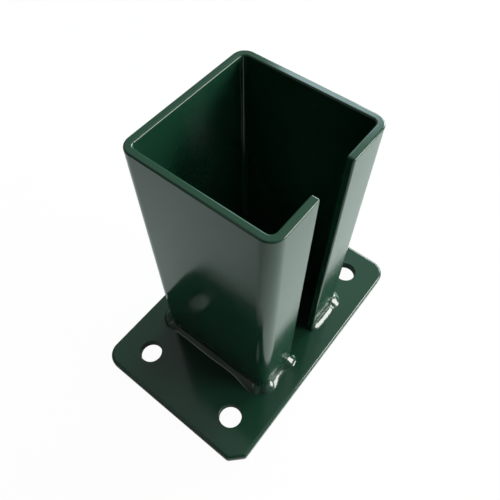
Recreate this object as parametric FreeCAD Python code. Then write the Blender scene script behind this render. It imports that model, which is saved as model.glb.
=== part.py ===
"""Timber post base: a folded square sleeve, open in front, welded to a bolt-down plate.

Millimetres. +Z is up, X runs along the plate's long side, and -Y is the slotted front.
The origin is the centre of the plate's underside.
"""
import FreeCAD, Part
import math
import os

# Base plate
plate_length = 166.0
plate_width = 108.0
plate_thickness = 6.0
corner_clip = 7.5
corner_softening = 2.6
corner_round = 10.0
plate_top_edge_radius = 2.0
plate_bottom_edge_radius = 0.9

# Anchor holes, for M12 bolts
hole_diameter = 13.5
hole_spacing_x = 126.0
hole_spacing_y = 65.0
hole_edge_radius = 0.5

# Post sleeve, folded from one sheet
post_size = 70.0
post_clearance_x = 2.0
post_clearance_y = 0.0
sheet_thickness = 4.0
inner_bend_radius = 2.8
sleeve_height = 160.0
slot_width = 23.5
outer_edge_radius = 1.0
inner_edge_radius = 0.7
rim_edge_radius = 0.9

# Weld beads round the sleeve's foot
bead_leg = 2.7
flange_bead_leg = 4.2
bead_leg_at_bends = 4.7
bead_taper_length = 7.0
bead_bulge = 0.35
bulb_radius = 5.0
bulb_overhang = 2.3
lump_radius = 5.2
lump_offset = 0.8
drop_height_share = 0.85

# Sizes worked out from those above
outer_bend_radius = inner_bend_radius + sheet_thickness
sleeve_width = post_size + post_clearance_x + 2 * sheet_thickness
sleeve_depth = post_size + post_clearance_y + 2 * sheet_thickness
wall_x = sleeve_width / 2
wall_y = sleeve_depth / 2
bend_x = wall_x - outer_bend_radius
bend_y = wall_y - outer_bend_radius
slot_edge = slot_width / 2

UP = FreeCAD.Vector(0, 0, 1)


def point(x, y, z=0.0):
    return FreeCAD.Vector(x, y, z)


def is_vertical(edge):
    direction = edge.tangentAt(edge.FirstParameter)
    return abs(direction.z) > 0.999


def lies_at_height(edge, height):
    box = edge.BoundBox
    return abs(box.ZMin - height) < 1e-6 and abs(box.ZMax - height) < 1e-6


def corner_edges(plate, is_clipped):
    """Upright edges at the clipped corners, or at the rounded ones, which lie on the other diagonal."""
    found = []
    for edge in plate.Edges:
        middle = edge.BoundBox.Center
        if is_vertical(edge) and (middle.x * middle.y > 0) == is_clipped:
            found.append(edge)
    return found


def make_base_plate():
    """Flat plate with two clipped and two rounded corners, softened edges and four anchor holes."""
    corner = point(-plate_length / 2, -plate_width / 2)
    plate = Part.makeBox(plate_length, plate_width, plate_thickness, corner)
    plate = plate.makeFillet(corner_round, corner_edges(plate, False))
    plate = plate.makeChamfer(corner_clip, corner_edges(plate, True))
    plate = plate.makeFillet(corner_softening, corner_edges(plate, True))
    top_rim = [e for e in plate.Edges if lies_at_height(e, plate_thickness)]
    plate = plate.makeFillet(plate_top_edge_radius, top_rim)
    bottom_rim = [e for e in plate.Edges if lies_at_height(e, 0.0)]
    plate = plate.makeFillet(plate_bottom_edge_radius, bottom_rim)
    for side_x in (-1, 1):
        for side_y in (-1, 1):
            plate = plate.cut(anchor_hole(side_x * hole_spacing_x / 2, side_y * hole_spacing_y / 2))
    return plate


def anchor_hole(x, y):
    """The space of one hole, which widens in a small round at both faces."""
    radius = hole_diameter / 2
    r = hole_edge_radius
    top = plate_thickness
    s = r * (1 - math.sqrt(0.5))
    outline = [
        Part.LineSegment(point(0, 0, -r), point(radius + r, 0, -r)),
        Part.LineSegment(point(radius + r, 0, -r), point(radius + r, 0, 0)),
        Part.Arc(point(radius + r, 0, 0), point(radius + s, 0, s), point(radius, 0, r)),
        Part.LineSegment(point(radius, 0, r), point(radius, 0, top - r)),
        Part.Arc(point(radius, 0, top - r), point(radius + s, 0, top - s), point(radius + r, 0, top)),
        Part.LineSegment(point(radius + r, 0, top), point(radius + r, 0, top + r)),
        Part.LineSegment(point(radius + r, 0, top + r), point(0, 0, top + r)),
        Part.LineSegment(point(0, 0, top + r), point(0, 0, -r)),
    ]
    profile = Part.Face(Part.Wire([line.toShape() for line in outline]))
    space = profile.revolve(point(0, 0), UP, 360)
    space.translate(point(x, y))
    return space


def rounded_rectangle(half_x, half_y, radius, height):
    """A solid block on z = 0 whose four upright edges are bends of the given radius."""
    block = Part.makeBox(2 * half_x, 2 * half_y, height, point(-half_x, -half_y))
    return block.makeFillet(radius, [e for e in block.Edges if is_vertical(e)])


def make_post_sleeve():
    """One sheet folded round four bends into a C, with its gap in the middle of the front."""
    outside = rounded_rectangle(wall_x, wall_y, outer_bend_radius, sleeve_height)
    inside = rounded_rectangle(
        wall_x - sheet_thickness, wall_y - sheet_thickness, inner_bend_radius, sleeve_height
    )
    sleeve = outside.cut(inside)
    gap = Part.makeBox(
        slot_width, 2 * sheet_thickness, sleeve_height, point(-slot_edge, -wall_y - sheet_thickness / 2)
    )
    sleeve = sleeve.cut(gap)
    sleeve = sleeve.makeFillet(inner_edge_radius, gap_edges(sleeve, -wall_y + sheet_thickness))
    sleeve = sleeve.makeFillet(outer_edge_radius, gap_edges(sleeve, -wall_y))
    sleeve = round_the_rim(sleeve)
    sleeve.translate(UP * plate_thickness)
    return sleeve


def gap_edges(sleeve, y):
    """The two upright edges of the gap that lie on one face of the front wall."""
    found = []
    for edge in sleeve.Edges:
        middle = edge.BoundBox.Center
        if is_vertical(edge) and abs(abs(middle.x) - slot_edge) < 1e-6 and abs(middle.y - y) < 1e-6:
            found.append(edge)
    return found


def round_the_rim(sleeve):
    """Softens the top end of the sheet along its whole outline."""
    rim = [e for e in sleeve.Edges if lies_at_height(e, sleeve_height)]
    return sleeve.makeFillet(rim_edge_radius, rim)


def bead_section(leg):
    """A fillet weld's section in the XZ plane: the wall is x = 0 and the plate is z = 0."""
    bulge = leg / 2 + bead_bulge
    foot = point(0, 0, 0)
    toe = point(leg, 0, 0)
    head = point(0, 0, leg)
    face = Part.Arc(toe, point(bulge, 0, bulge), head)
    edges = [
        Part.LineSegment(foot, toe).toShape(),
        face.toShape(),
        Part.LineSegment(head, foot).toShape(),
    ]
    return Part.Wire(edges)


def straight_bead(x, y, angle, length, start_leg, end_leg):
    """A run that starts at x, y and goes along the wall that faces the given angle.

    The run goes to the right of someone who stands on the plate and looks at the wall.
    """
    start = bead_section(start_leg)
    end = bead_section(end_leg)
    end.translate(point(0, length))
    bead = Part.makeLoft([start, end], True, True)
    bead.rotate(point(0, 0), UP, angle)
    bead.translate(point(x, y, plate_thickness))
    return bead


def tapered_bead(x, y, angle, length, leg, start_is_thick, end_is_thick):
    """A run that has the given leg along its middle and thickens towards an end that meets a bend."""
    direction = point(-math.sin(math.radians(angle)), math.cos(math.radians(angle)))
    stations = [(0.0, bead_leg_at_bends if start_is_thick else leg)]
    if start_is_thick:
        stations.append((bead_taper_length, leg))
    if end_is_thick:
        stations.append((length - bead_taper_length, leg))
    stations.append((length, bead_leg_at_bends if end_is_thick else leg))
    pieces = []
    for (s0, leg0), (s1, leg1) in zip(stations, stations[1:]):
        start = point(x, y) + direction * s0
        pieces.append(straight_bead(start.x, start.y, angle, s1 - s0, leg0, leg1))
    return pieces


def bend_bead(side_x, side_y):
    """The bead round the outside of one bend of the sleeve."""
    section = bead_section(bead_leg_at_bends)
    section.translate(point(outer_bend_radius, 0))
    bead = Part.Face(section).revolve(point(0, 0), UP, 90)
    first_angle = {(1, 1): 0, (-1, 1): 90, (-1, -1): 180, (1, -1): 270}[(side_x, side_y)]
    bead.rotate(point(0, 0), UP, first_angle)
    bead.translate(point(side_x * bend_x, side_y * bend_y, plate_thickness))
    return bead


def joined(pieces):
    """One solid from the pieces of a bead."""
    whole = pieces[0].multiFuse(pieces[1:]).removeSplitter()
    return whole.Solids[0] if len(whole.Solids) == 1 else whole


def make_side_weld(side_x, lump_side_y):
    """The bead along a side wall and round the bends at both its ends.

    One bend has a lump, where the welder stopped and started again.
    """
    length = 2 * bend_y
    angle = 0 if side_x > 0 else 180
    run = tapered_bead(side_x * wall_x, -side_x * bend_y, angle, length, bead_leg, True, True)
    reach = (outer_bend_radius + lump_offset) * math.sqrt(0.5)
    lump = drop(side_x * (bend_x + reach), lump_side_y * (bend_y + reach), lump_radius)
    return joined(run + [bend_bead(side_x, -1), bend_bead(side_x, 1), lump])


def make_rear_weld():
    """The bead along the foot of the back wall, from bend to bend."""
    return joined(tapered_bead(bend_x, wall_y, 90, 2 * bend_x, bead_leg, True, True))


def make_left_flange_weld():
    """A bead from the left bend to the gap, where it ends in a bulb at the flange's edge."""
    length = bend_x - slot_edge
    run = tapered_bead(-bend_x, -wall_y, 270, length, flange_bead_leg, True, False)
    return joined(run + [drop(-slot_edge + bulb_overhang - bulb_radius, -wall_y, bulb_radius)])


def make_right_flange_weld():
    """A bead from the gap to the right bend, where it thickens to meet the side bead."""
    length = bend_x - slot_edge
    return joined(tapered_bead(slot_edge, -wall_y, 270, length, flange_bead_leg, False, True))


def drop(x, y, foot_radius):
    """A low round drop of weld metal on the plate, cut to the outside of the sleeve."""
    height = foot_radius * drop_height_share
    ball_radius = (foot_radius ** 2 + height ** 2) / (2 * height)
    ball = Part.makeSphere(ball_radius, point(x, y, height - ball_radius))
    reach = 2 * foot_radius
    above_plate = Part.makeBox(2 * reach, 2 * reach, reach, point(x - reach, y - reach))
    inside_sleeve = rounded_rectangle(wall_x, wall_y, outer_bend_radius, reach)
    metal = ball.common(above_plate).cut(inside_sleeve)
    metal.translate(UP * plate_thickness)
    return metal


def main():
    os.makedirs("parts", exist_ok=True)
    nodes = {
        "base_plate": make_base_plate(),
        "post_sleeve": make_post_sleeve(),
        "weld_left": make_side_weld(-1, 1),
        "weld_right": make_side_weld(1, -1),
        "weld_rear": make_rear_weld(),
        "weld_front_left": make_left_flange_weld(),
        "weld_front_right": make_right_flange_weld(),
    }
    for name, shape in nodes.items():
        shape.exportStep(f"parts/{name}.step")


main()
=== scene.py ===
import bpy
import bmesh
import math
from mathutils import Matrix, Vector, noise


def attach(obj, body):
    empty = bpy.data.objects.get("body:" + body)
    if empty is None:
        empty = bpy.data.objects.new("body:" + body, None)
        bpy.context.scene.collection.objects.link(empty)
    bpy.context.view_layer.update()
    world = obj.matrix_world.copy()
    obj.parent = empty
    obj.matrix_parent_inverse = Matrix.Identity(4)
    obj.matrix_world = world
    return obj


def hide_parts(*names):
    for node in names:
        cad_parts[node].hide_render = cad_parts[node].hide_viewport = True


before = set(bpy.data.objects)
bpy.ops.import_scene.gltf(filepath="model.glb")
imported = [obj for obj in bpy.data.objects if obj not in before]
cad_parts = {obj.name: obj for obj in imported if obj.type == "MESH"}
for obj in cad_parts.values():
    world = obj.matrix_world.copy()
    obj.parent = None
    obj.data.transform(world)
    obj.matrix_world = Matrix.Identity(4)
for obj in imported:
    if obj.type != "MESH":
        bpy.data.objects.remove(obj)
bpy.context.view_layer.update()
MM = 0.001


# ---- sizes of the solids, in millimetres, as in part.py ----
PLATE_TOP = 6.0
RIM_TOP = 166.0
WALL_X = 40.0
WALL_Y = 39.0
BEND_RADIUS = 6.8
SLOT_EDGE = 11.75
SLOT_EDGE_ROUND = 1.0
BEND_X = WALL_X - BEND_RADIUS
BEND_Y = WALL_Y - BEND_RADIUS


# ---- how the weld beads are built, in millimetres ----
RUN_INTO_SLOT = 2.5
STEP_ALONG = 0.28
SECTION_STEPS = 26
SECTION_CONTROLS = 7
SPLINE_DEGREE = 3
BURIED_CORNER = (-0.4, -0.3)  # outwards from the wall and up from the plate
CREASE_ANGLE = math.radians(50)

# How far the bead's edges blend into wall and plate, and how round its face is.
WIDEST_BLEND = 0.9
BLEND_PER_WIDTH = 0.6
ROUNDNESS = 0.86
ROUNDNESS_WANDER = 0.03
ROUNDNESS_SCALE = 0.15

# Ripples follow each other at this pitch, bow towards the weld's end and wander a little.
RIPPLE_PITCH = 1.55
RIPPLE_BOW = 1.2
RIPPLE_WANDER = 0.8
WANDER_SCALE = 0.3

# Fine unevenness of the face: its height, its growth with the ripples, and its scales along and across.
GRAIN_HEIGHT = 0.03
GRAIN_PER_RIPPLE = 0.9
GRAIN_ALONG = 0.45
GRAIN_ACROSS = 2.2

LUMP_CUTOFF = 9  # squared distance, in reaches, beyond which a lump is left out
EDGE_FADE = 1.3  # how soon all relief fades out towards the bead's edges
OUTWARD_BIAS = 0.25  # keeps the direction of the relief steady where the face meets wall or plate


# ---- weld beads: one path round the foot of the sleeve, cut into the five CAD nodes ----
def path_segments():
    """The outer foot line, counter-clockwise from the slot's right edge.

    A line is (start, direction, outward normal, length), an arc is (centre, radius, first angle, length).
    """
    edge = SLOT_EDGE_ROUND
    quarter = math.pi / 2
    bend = BEND_RADIUS * quarter
    inner = SLOT_EDGE + edge
    flange = BEND_X - inner
    return {
        "right_edge": ("arc", (inner, -WALL_Y + edge), edge, 180, edge * quarter),
        "right_flange": ("line", (inner, -WALL_Y), (1, 0), (0, -1), flange),
        "front_right_bend": ("arc", (BEND_X, -BEND_Y), BEND_RADIUS, 270, bend),
        "right_wall": ("line", (WALL_X, -BEND_Y), (0, 1), (1, 0), 2 * BEND_Y),
        "rear_right_bend": ("arc", (BEND_X, BEND_Y), BEND_RADIUS, 0, bend),
        "rear_wall": ("line", (BEND_X, WALL_Y), (-1, 0), (0, 1), 2 * BEND_X),
        "rear_left_bend": ("arc", (-BEND_X, BEND_Y), BEND_RADIUS, 90, bend),
        "left_wall": ("line", (-WALL_X, BEND_Y), (0, -1), (-1, 0), 2 * BEND_Y),
        "front_left_bend": ("arc", (-BEND_X, -BEND_Y), BEND_RADIUS, 180, bend),
        "left_flange": ("line", (-BEND_X, -WALL_Y), (1, 0), (0, -1), flange),
        "left_edge": ("arc", (-inner, -WALL_Y + edge), edge, 270, edge * quarter),
        "left_cut": ("line", (-SLOT_EDGE, -WALL_Y + edge), (0, 1), (1, 0), RUN_INTO_SLOT),
    }


SEGMENTS = path_segments()
STARTS = {}
path_length = 0.0
for key, segment in SEGMENTS.items():
    STARTS[key] = path_length
    path_length += segment[-1]

# The stretch of the path that each CAD weld node covers: its first segment, and the one after its last.
RUNS = {
    "weld_front_right": ("right_edge", "front_right_bend"),
    "weld_right": ("front_right_bend", "rear_wall"),
    "weld_rear": ("rear_wall", "rear_left_bend"),
    "weld_left": ("rear_left_bend", "left_flange"),
    "weld_front_left": ("left_flange", None),
}


def at(key, place=0.0):
    """Path position of a place in a segment: millimetres along a line, or a share of an arc."""
    kind, length = SEGMENTS[key][0], SEGMENTS[key][-1]
    return STARTS[key] + place * (length if kind == "arc" else 1.0)


def foot(s):
    """Point on the foot line and the outward normal there."""
    key = [k for k in SEGMENTS if STARTS[k] <= s + 1e-9][-1]
    segment = SEGMENTS[key]
    along = min(s - STARTS[key], segment[-1])
    if segment[0] == "line":
        start, direction, normal = segment[1:4]
        return (start[0] + direction[0] * along, start[1] + direction[1] * along), normal
    centre, radius, first = segment[1:4]
    angle = math.radians(first) + along / radius
    normal = (math.cos(angle), math.sin(angle))
    return (centre[0] + radius * normal[0], centre[1] + radius * normal[1]), normal


def table(**segments):
    """A table of (path position, value) from each segment's own (place, value) pairs."""
    return [(at(key, place), value) for key, pairs in segments.items() for place, value in pairs]


# How wide the bead is on the plate, as its outline shows in the photograph where it is in view.
WIDTHS = table(
    right_edge=[(0, 0.3)],
    right_flange=[(0, 1.7), (2, 2.5), (4.7, 3.05), (7, 3.2), (12, 3.2), (16, 2.95), (19.5, 2.8)],
    front_right_bend=[(0.12, 3.5), (0.24, 4.55), (0.37, 5.25), (0.52, 5.6), (0.8, 5.6)],
    right_wall=[(0, 5.1), (5, 3.6), (10, 3.0), (54, 2.8)],
    rear_right_bend=[(0, 3.8), (0.5, 4.8)],
    rear_wall=[(0, 4.3), (8, 3.0), (58, 3.0)],
    rear_left_bend=[(0, 4.5), (0.2, 5.2), (0.35, 5.3), (0.5, 4.9), (0.75, 4.5)],
    left_wall=[
        (0, 3.8), (1.5, 3.1), (4.6, 2.6), (12.6, 2.6), (28, 2.8), (36, 2.7), (43, 2.5), (50, 2.6),
        (54, 3.0), (59.5, 4.0), (63, 4.5),
    ],
    front_left_bend=[
        (0.08, 4.65), (0.22, 4.3), (0.30, 3.8), (0.375, 3.5), (0.47, 3.9), (0.60, 4.3), (0.75, 4.4),
    ],
    left_flange=[
        (0, 4.35), (2, 4.25), (3, 4.05), (4.5, 3.55), (5.8, 3.15), (8.6, 2.9), (12.3, 2.9),
        (14.5, 3.4), (16.3, 4.25), (18, 4.85), (19.3, 4.75),
    ],
    left_edge=[(0.05, 4.5), (0.25, 4.3), (0.5, 3.9), (0.8, 3.3)],
    left_cut=[(0, 2.6), (1.2, 1.6), (2.5, 0.25)],
)

# How far the bead reaches up the wall.
HEIGHTS = table(
    right_edge=[(0, 0.4)],
    right_flange=[(0, 1.5), (2, 2.1), (4.7, 2.6), (7, 2.75), (12, 2.75), (19.5, 2.45)],
    front_right_bend=[(0.12, 2.7), (0.24, 3.4), (0.37, 3.8), (0.52, 4.1), (0.8, 4.3)],
    right_wall=[(0, 3.9), (6, 2.6), (12, 2.3), (54, 2.3)],
    rear_right_bend=[(0, 3.2), (0.5, 4.2)],
    rear_wall=[(0, 3.6), (8, 2.5), (58, 2.5)],
    rear_left_bend=[(0, 3.6), (0.3, 4.2), (0.7, 3.7)],
    left_wall=[
        (0, 3.2), (4.6, 2.2), (18, 2.2), (30, 2.7), (38, 2.6), (46, 2.1), (54, 2.3), (60, 3.2),
    ],
    front_left_bend=[(0.1, 3.7), (0.375, 3.1), (0.65, 3.7)],
    left_flange=[
        (0, 3.75), (2, 3.7), (3, 3.55), (4.5, 3.2), (5.8, 2.95), (8.6, 2.75), (12.3, 2.75),
        (14.5, 3.0), (16.3, 3.6), (18, 4.0), (19.3, 3.9),
    ],
    left_edge=[(0.05, 3.65), (0.25, 3.45), (0.5, 3.0), (0.8, 2.6)],
    left_cut=[(0, 2.2), (1.2, 1.5), (2.5, 0.3)],
)

# 1 where the bead's face is a full quarter-round, 0 where it is flat, and below 0 where it is hollow.
FULLNESS = table(
    right_edge=[(0, 0.8)],
    right_flange=[(2, 0.3), (5, -0.15), (19, -0.15)],
    front_right_bend=[(0.3, 0.0), (0.6, 0.5)],
    right_wall=[(0, 0.5), (8, 0.2), (56, 0.2)],
    rear_right_bend=[(0.5, 0.6)],
    rear_wall=[(8, 0.2), (58, 0.2)],
    rear_left_bend=[(0.5, 0.6)],
    left_wall=[(6, 0.05), (54, 0.05)],
    front_left_bend=[(0.5, 0.45)],
    left_flange=[(0, 0.2), (3, -0.35), (12, -0.45), (15, 0.15), (17.5, 0.25)],
    left_edge=[(0.3, 0.25)],
    left_cut=[(0, 0.5)],
)

# How softly the bead's edge runs out on the plate.
TOES = table(
    right_edge=[(0, 0.5)],
    front_right_bend=[(0, 0.5), (0.7, 1.0)],
    left_flange=[(0, 1.0), (4, 0.6)],
    left_cut=[(0, 0.6)],
)

# How high the ripples are.
RIPPLES = table(
    right_edge=[(0, 0.01)],
    right_flange=[(5, 0.005), (15, 0.01)],
    front_right_bend=[(0, 0.01), (0.5, 0.03)],
    right_wall=[(0, 0.06), (8, 0.02), (56, 0.02)],
    rear_right_bend=[(0.5, 0.08)],
    rear_wall=[(8, 0.02), (58, 0.02)],
    rear_left_bend=[(0.5, 0.08)],
    left_wall=[(3, 0.04), (9, 0.008), (52, 0.008), (57, 0.03)],
    front_left_bend=[(0.5, 0.02)],
    left_flange=[(2, 0.005), (6, 0.005), (13, 0.005), (18, 0.01)],
    left_cut=[(0, 0.01)],
)

# Lumps and pits: path position, place between wall (0) and plate (1), reach along and across, height.
LUMPS = [
    (at("front_left_bend", 0.10), 0.55, 1.6, 0.32, 0.25),
    (at("front_left_bend", 0.375), 0.60, 0.9, 0.30, -0.15),
    (at("front_left_bend", 0.62), 0.55, 1.8, 0.32, 0.30),
    (at("front_right_bend", 0.65), 0.50, 2.2, 0.35, 0.25),
    (at("right_flange", 12), 0.45, 8.0, 0.07, -0.05),
    (at("rear_left_bend", 0.22), 0.50, 1.4, 0.28, 0.40),
    (at("rear_left_bend", 0.48), 0.50, 0.8, 0.22, -0.30),
    (at("rear_left_bend", 0.68), 0.50, 1.5, 0.28, 0.35),
    (at("rear_right_bend", 0.35), 0.50, 1.6, 0.28, 0.40),
    (at("rear_right_bend", 0.60), 0.45, 0.8, 0.20, -0.25),
]


def between(pairs, s):
    """Value of a table at a path position, on a smooth cubic from one pair to the next."""
    last = len(pairs) - 1
    if s <= pairs[0][0]:
        return pairs[0][1]
    if s >= pairs[last][0]:
        return pairs[last][1]
    i = next(k for k in range(last) if s <= pairs[k + 1][0])
    (s0, v0), (s1, v1) = pairs[i], pairs[i + 1]
    before, after = pairs[max(i - 1, 0)], pairs[min(i + 2, last)]
    run = s1 - s0
    slope0 = (v1 - before[1]) / (s1 - before[0])
    slope1 = (after[1] - v0) / (after[0] - s0)
    u = (s - s0) / run
    return (
        v0 * (1 + 2 * u) * (1 - u) ** 2 + v1 * u * u * (3 - 2 * u)
        + run * (slope0 * u * (1 - u) ** 2 - slope1 * u * u * (1 - u))
    )


def spline_weights(controls, steps):
    """Weights of a clamped cubic B-spline's control points at even steps."""
    degree = SPLINE_DEGREE
    inner = controls - degree - 1
    knots = [0.0] * (degree + 1) + [(i + 1) / (inner + 1) for i in range(inner)] + [1.0] * (degree + 1)
    rows = []
    for step in range(steps):
        t = min(step / (steps - 1), 1 - 1e-9)
        basis = [1.0 if knots[i] <= t < knots[i + 1] else 0.0 for i in range(len(knots) - 1)]
        for d in range(1, degree + 1):
            raised = []
            for i in range(len(basis) - 1):
                left = (t - knots[i]) / (knots[i + d] - knots[i]) if knots[i + d] > knots[i] else 0.0
                span = knots[i + d + 1] - knots[i + 1]
                right = (knots[i + d + 1] - t) / span if span > 0 else 0.0
                raised.append(left * basis[i] + right * basis[i + 1])
            basis = raised
        rows.append(basis)
    return rows


SPLINE = spline_weights(SECTION_CONTROLS, SECTION_STEPS)


def face_controls(s, width, height):
    """Control points (outwards, up) of the bead's face, from inside the wall to under the plate's top."""
    blend = min(WIDEST_BLEND, BLEND_PER_WIDTH * width)
    toe = blend * between(TOES, s)
    full = ROUNDNESS + ROUNDNESS_WANDER * noise.noise(Vector((s * ROUNDNESS_SCALE, 3.0, 7.0)))
    flat = [
        (-0.35, height + 0.7 * blend),
        (-0.12, height + 0.35 * blend),
        (0.14, height - 0.15 * blend),
        (0.51 * width, 0.51 * height),
        (width - 0.35 * toe, 0.22 * toe),
        (width + 0.35 * toe, 0.0),
        (width + 0.9 * toe, -0.20),
    ]
    domed = [
        (-0.35, height + 0.4 * blend),
        (-0.05, height + 0.1 * blend),
        (0.30 * width, full * height),
        (full * width, 0.72 * height),
        (0.90 * width, 0.10 * height),
        (width + 0.25 * blend, -0.08),
        (width + 0.6 * blend, -0.32),
    ]
    share = between(FULLNESS, s)
    return [(f[0] + (d[0] - f[0]) * share, f[1] + (d[1] - f[1]) * share) for f, d in zip(flat, domed)]


def surface_lift(s, t, ripple):
    """How far ripples, grain and lumps raise the face, at a share t of the way from wall to plate."""
    wander = RIPPLE_WANDER * noise.noise(Vector((s * WANDER_SCALE, 0, 0)))
    phase = (s + RIPPLE_BOW * (2 * t - 1) ** 2) / RIPPLE_PITCH + wander
    lift = ripple * math.sin(2 * math.pi * phase)
    grain = noise.noise(Vector((s * GRAIN_ALONG, t * GRAIN_ACROSS, 1.7)))
    lift += (GRAIN_HEIGHT + GRAIN_PER_RIPPLE * ripple) * grain
    for place, middle, along, across, rise in LUMPS:
        far = ((s - place) / along) ** 2 + ((t - middle) / across) ** 2
        if far < LUMP_CUTOFF:
            lift += rise * math.exp(-far)
    return lift * max(0.0, math.sin(math.pi * t)) ** EDGE_FADE


def section(s):
    """The bead's face at one place: points (outwards, up) from the wall down to the plate."""
    width = between(WIDTHS, s)
    height = between(HEIGHTS, s)
    controls = face_controls(s, width, height)
    ripple = between(RIPPLES, s)
    points = []
    for step, weights in enumerate(SPLINE):
        out = sum(w * c[0] for w, c in zip(weights, controls))
        up = sum(w * c[1] for w, c in zip(weights, controls))
        lift = surface_lift(s, step / (SECTION_STEPS - 1), ripple)
        lean_up = up / height + OUTWARD_BIAS
        lean_out = out / width + OUTWARD_BIAS
        size = math.hypot(lean_up, lean_out)
        points.append((out + lift * lean_out / size, up + lift * lean_up / size))
    return points


def weld_mesh(name, first, last):
    """A closed strip of the bead between two path positions."""
    count = max(2, int(round((last - first) / STEP_ALONG)))
    rows = []
    vertices = []
    for i in range(count + 1):
        s = first + (last - first) * i / count
        (x, y), (nx, ny) = foot(s)
        row = []
        for out, up in section(s) + [BURIED_CORNER]:
            row.append(len(vertices))
            vertices.append(((x + nx * out) * MM, (y + ny * out) * MM, (PLATE_TOP + up) * MM))
        rows.append(row)
    faces = []
    wide = len(rows[0])
    for r0, r1 in zip(rows, rows[1:]):
        for j in range(wide):
            k = (j + 1) % wide
            faces.append((r0[j], r0[k], r1[k], r1[j]))
    faces.append(tuple(rows[0][::-1]))
    faces.append(tuple(rows[-1]))
    mesh = bpy.data.meshes.new(name)
    mesh.from_pydata(vertices, [], faces)
    mesh.validate()
    smooth_with_creases(mesh)
    piece = bpy.data.objects.new(name, mesh)
    bpy.context.scene.collection.objects.link(piece)
    return piece


def smooth_with_creases(mesh):
    """Turns all faces outwards and shades them smooth, apart from edges sharper than the crease angle."""
    bm = bmesh.new()
    bm.from_mesh(mesh)
    bmesh.ops.recalc_face_normals(bm, faces=bm.faces)
    for face in bm.faces:
        face.smooth = True
    for edge in bm.edges:
        if len(edge.link_faces) == 2 and edge.calc_face_angle() > CREASE_ANGLE:
            edge.smooth = False
    bm.to_mesh(mesh)
    bm.free()


def make_welds(material):
    """The detailed beads, each in place of its CAD node."""
    for cad_node, (first, after_last) in RUNS.items():
        end = at(after_last) if after_last else path_length
        piece = weld_mesh(cad_node + "_bead", at(first), end)
        piece.data.materials.append(material)
        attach(piece, "root")
        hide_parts(cad_node)


# ---- camera, at the photograph's place ----
CAMERA_PLACE = (-0.11987, -0.09017, 0.31266)
CAMERA_RIGHT = (0.62202, -0.78299, -0.00458)
CAMERA_DOWN = (-0.66433, -0.52464, -0.53237)
CAMERA_AHEAD = (0.41444, 0.33419, -0.84650)


def make_camera():
    data = bpy.data.cameras.new("camera")
    camera = bpy.data.objects.new("camera", data)
    bpy.context.scene.collection.objects.link(camera)
    turn = Matrix((Vector(CAMERA_RIGHT), -Vector(CAMERA_DOWN), -Vector(CAMERA_AHEAD))).transposed()
    camera.matrix_world = Matrix.Translation(CAMERA_PLACE) @ turn.to_4x4()
    data.sensor_width = 36.0
    data.lens = 36.749
    data.shift_x = 0.01105
    data.shift_y = 0.01028
    data.clip_start = 0.01
    data.clip_end = 20.0
    bpy.context.scene.camera = camera


# ---- materials ----
COAT_DARK = (0.0084, 0.0455, 0.0245, 1)
COAT_PALE = (0.0098, 0.0515, 0.0280, 1)
# Painted light: the sheet's top end is coloured paler than the coat, to stand in for the stronger light
# that falls on the rims.
COAT_PAINTED_LIGHT_ON_RIM = (0.0125, 0.0670, 0.0350, 1)
FLOOR_COLOUR = (0.87, 0.92, 0.90, 1)
ROOM_COLOUR = (0.90, 1.0, 0.99, 1)
WHITE = (1, 1, 1, 1)

# Texture scales of the coat, in waves per metre or so, and its noise detail.
CLOUDS = (28.0, 3.0)
SMEARS = (75.0, 4.0)
FINE_PEEL = (520.0, 1.5)
BROAD_PEEL = (110.0, 1.0)
BROAD_PEEL_TIMES_DEEPER = 4


def new_material(name):
    material = bpy.data.materials.new(name)
    material.use_nodes = True
    tree = material.node_tree
    tree.nodes.clear()
    return material, tree


def texture(tree, coords, scale_and_detail):
    """A noise texture's value."""
    made = tree.nodes.new("ShaderNodeTexNoise")
    made.inputs["Scale"].default_value, made.inputs["Detail"].default_value = scale_and_detail
    made.inputs["Roughness"].default_value = 0.5
    tree.links.new(coords, made.inputs["Vector"])
    return made.outputs["Fac"]


def ramp(tree, value, low, high, out_low, out_high):
    """The value carried smoothly from one range to another."""
    made = tree.nodes.new("ShaderNodeMapRange")
    made.interpolation_type = "SMOOTHSTEP"
    made.inputs["From Min"].default_value = low
    made.inputs["From Max"].default_value = high
    made.inputs["To Min"].default_value = out_low
    made.inputs["To Max"].default_value = out_high
    tree.links.new(value, made.inputs["Value"])
    return made.outputs["Result"]


def set_or_link(tree, value, socket):
    """Gives a socket a constant, or another node's output."""
    if isinstance(value, bpy.types.NodeSocket):
        tree.links.new(value, socket)
    else:
        socket.default_value = value


def maths(tree, operation, *values):
    made = tree.nodes.new("ShaderNodeMath")
    made.operation = operation
    for value, socket in zip(values, made.inputs):
        set_or_link(tree, value, socket)
    return made.outputs[0]


def mixed(tree, factor, first, second):
    """A colour between two others."""
    made = tree.nodes.new("ShaderNodeMix")
    made.data_type = "RGBA"
    tree.links.new(factor, made.inputs["Factor"])
    set_or_link(tree, first, made.inputs["A"])
    set_or_link(tree, second, made.inputs["B"])
    return made.outputs["Result"]


def bump(tree, height, depth, under=None):
    """A normal with a relief of the given depth in metres, over another one if that is given."""
    made = tree.nodes.new("ShaderNodeBump")
    made.inputs["Strength"].default_value = 1.0
    made.inputs["Distance"].default_value = depth
    tree.links.new(height, made.inputs["Height"])
    if under is not None:
        tree.links.new(under, made.inputs["Normal"])
    return made.outputs["Normal"]


def rim_painted_light_mask(tree, coords):
    """Where the painted light goes: 1 on the sheet's top end and 0 everywhere else on the part."""
    parts = tree.nodes.new("ShaderNodeSeparateXYZ")
    tree.links.new(coords, parts.inputs[0])
    return ramp(tree, parts.outputs["Z"], (RIM_TOP - 0.5) * MM, (RIM_TOP - 0.1) * MM, 0.0, 1.0)


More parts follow.
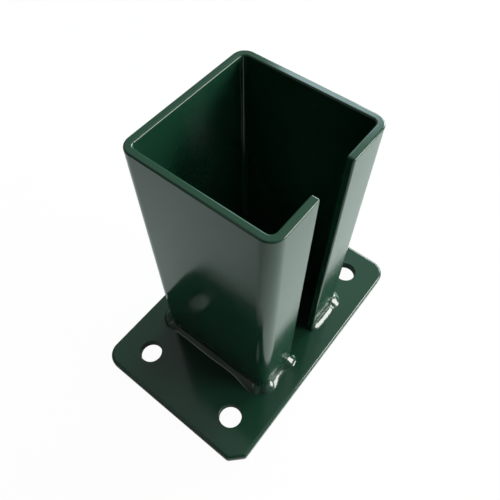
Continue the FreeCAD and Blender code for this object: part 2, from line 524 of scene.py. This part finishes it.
def powder_coat(name, peel_depth, rough_low, rough_high, ior):
    """Glossy dark green coat with faint clouds and orange peel, and painted light on the sheet's top end:
    it is coloured paler to stand in for the stronger light that the rims catch.
    """
    material, tree = new_material(name)
    out = tree.nodes.new("ShaderNodeOutputMaterial")
    shader = tree.nodes.new("ShaderNodeBsdfPrincipled")
    shader.inputs["IOR"].default_value = ior
    tree.links.new(shader.outputs[0], out.inputs["Surface"])
    coords = tree.nodes.new("ShaderNodeTexCoord").outputs["Object"]

    clouds = ramp(tree, texture(tree, coords, CLOUDS), 0.3, 0.7, 0.0, 1.0)
    # Painted light: the top end of the sheet takes the paler rim colour.
    colour = mixed(tree, rim_painted_light_mask(tree, coords), mixed(tree, clouds, COAT_DARK, COAT_PALE), COAT_PAINTED_LIGHT_ON_RIM)
    tree.links.new(colour, shader.inputs["Base Color"])

    rough = ramp(tree, texture(tree, coords, SMEARS), 0.3, 0.72, rough_low, rough_high)
    tree.links.new(rough, shader.inputs["Roughness"])

    broad = bump(tree, texture(tree, coords, BROAD_PEEL), peel_depth * BROAD_PEEL_TIMES_DEEPER)
    fine = bump(tree, texture(tree, coords, FINE_PEEL), peel_depth, broad)
    tree.links.new(fine, shader.inputs["Normal"])
    return material


# ---- plain white background, on the floor and in the world ----
def lay_white_over(tree, out, lit, white, for_camera, for_mirrors):
    """Shows a share of plain white in place of the lit surface, to the camera and in mirrors and glass."""
    path = tree.nodes.new("ShaderNodeLightPath")
    share = 0.0
    for ray, part in (("Camera", for_camera), ("Glossy", for_mirrors), ("Transmission", for_mirrors)):
        share = maths(tree, "MULTIPLY_ADD", path.outputs[f"Is {ray} Ray"], part, share)
    blend = tree.nodes.new("ShaderNodeMixShader")
    tree.links.new(share, blend.inputs[0])
    tree.links.new(lit.outputs[0], blend.inputs[1])
    tree.links.new(white.outputs[0], blend.inputs[2])
    tree.links.new(blend.outputs[0], out.inputs["Surface"])


def floor_material():
    material, tree = new_material("pale_floor")
    out = tree.nodes.new("ShaderNodeOutputMaterial")
    lit = tree.nodes.new("ShaderNodeBsdfDiffuse")
    lit.inputs["Color"].default_value = FLOOR_COLOUR
    white = tree.nodes.new("ShaderNodeEmission")
    white.inputs["Strength"].default_value = 1.0
    lay_white_over(tree, out, lit, white, 0.97, 0.04)
    return material


FLOOR_HALF = 4.0
FLOOR_HEIGHT = -0.0004


def make_floor():
    mesh = bpy.data.meshes.new("floor")
    corners = [(-1, -1), (1, -1), (1, 1), (-1, 1)]
    vertices = [(x * FLOOR_HALF, y * FLOOR_HALF, FLOOR_HEIGHT) for x, y in corners]
    mesh.from_pydata(vertices, [], [(0, 1, 2, 3)])
    floor = bpy.data.objects.new("floor", mesh)
    bpy.context.scene.collection.objects.link(floor)
    mesh.materials.append(floor_material())


def make_world():
    """A dim room with a paler ceiling on the right; the camera sees white, and mirrors see some of it."""
    world = bpy.data.worlds.new("room")
    bpy.context.scene.world = world
    world.use_nodes = True
    tree = world.node_tree
    tree.nodes.clear()
    out = tree.nodes.new("ShaderNodeOutputWorld")
    coords = tree.nodes.new("ShaderNodeTexCoord")
    parts = tree.nodes.new("ShaderNodeSeparateXYZ")
    tree.links.new(coords.outputs["Generated"], parts.inputs[0])
    x, y, z = (parts.outputs[axis] for axis in "XYZ")
    rightwards = maths(tree, "MULTIPLY_ADD", y, -0.6, x)
    ceiling = maths(
        tree, "ADD", ramp(tree, x, -0.20, 0.14, 0.0, 0.38), ramp(tree, rightwards, 0.10, 0.40, 0.0, 0.28)
    )
    strength = maths(tree, "MULTIPLY", ceiling, ramp(tree, z, 0.15, 0.80, 0.1, 1.0))
    room = tree.nodes.new("ShaderNodeBackground")
    room.inputs["Color"].default_value = ROOM_COLOUR
    tree.links.new(strength, room.inputs["Strength"])
    white = tree.nodes.new("ShaderNodeBackground")
    white.inputs["Color"].default_value = WHITE
    white.inputs["Strength"].default_value = 1.0
    lay_white_over(tree, out, room, white, 1.0, 0.15)


# ---- lamps ----
LAMP_TARGET = Vector((0, 0, 0.06))

# Name, azimuth from +X towards +Y and elevation in degrees, distance, width, height, watts, colour.
LAMPS = [
    ("front_softbox", -59, 16, 1.2, 0.54, 0.46, 11.2, (1.0, 0.985, 0.94)),
    ("side_softbox", -3, 24, 1.2, 0.76, 0.60, 17.5, (0.96, 1.0, 0.99)),
    ("window", 25, 34.5, 1.3, 0.30, 0.50, 2.4, (0.78, 0.97, 1.1)),
    ("rear_strip", 157, 45, 1.2, 0.34, 0.22, 0.3, (0.88, 1.0, 0.94)),
    ("left_wall", 163, 24, 1.2, 0.64, 0.50, 0.12, (0.90, 1.0, 0.95)),
]


def make_softbox(name, azimuth, elevation, distance, width, height, power, colour):
    data = bpy.data.lights.new(name, "AREA")
    data.shape = "RECTANGLE"
    data.size = width
    data.size_y = height
    data.energy = power
    data.color = colour
    lamp = bpy.data.objects.new(name, data)
    bpy.context.scene.collection.objects.link(lamp)
    a = math.radians(azimuth)
    e = math.radians(elevation)
    towards = Vector((math.cos(a) * math.cos(e), math.sin(a) * math.cos(e), math.sin(e)))
    lamp.location = LAMP_TARGET + towards * distance
    lamp.rotation_mode = "QUATERNION"
    lamp.rotation_quaternion = towards.to_track_quat("Z", "Y")


make_camera()
make_floor()
make_world()
for lamp in LAMPS:
    make_softbox(*lamp)

coat = powder_coat("green_powder_coat", 0.0000026, 0.110, 0.145, 1.5)
weld_coat = powder_coat("coated_weld", 0.0000012, 0.15, 0.18, 1.6)
for name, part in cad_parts.items():
    part.data.materials.clear()
    part.data.materials.append(weld_coat if name.startswith("weld") else coat)
make_welds(weld_coat)

bpy.context.scene.view_settings.view_transform = "Standard"
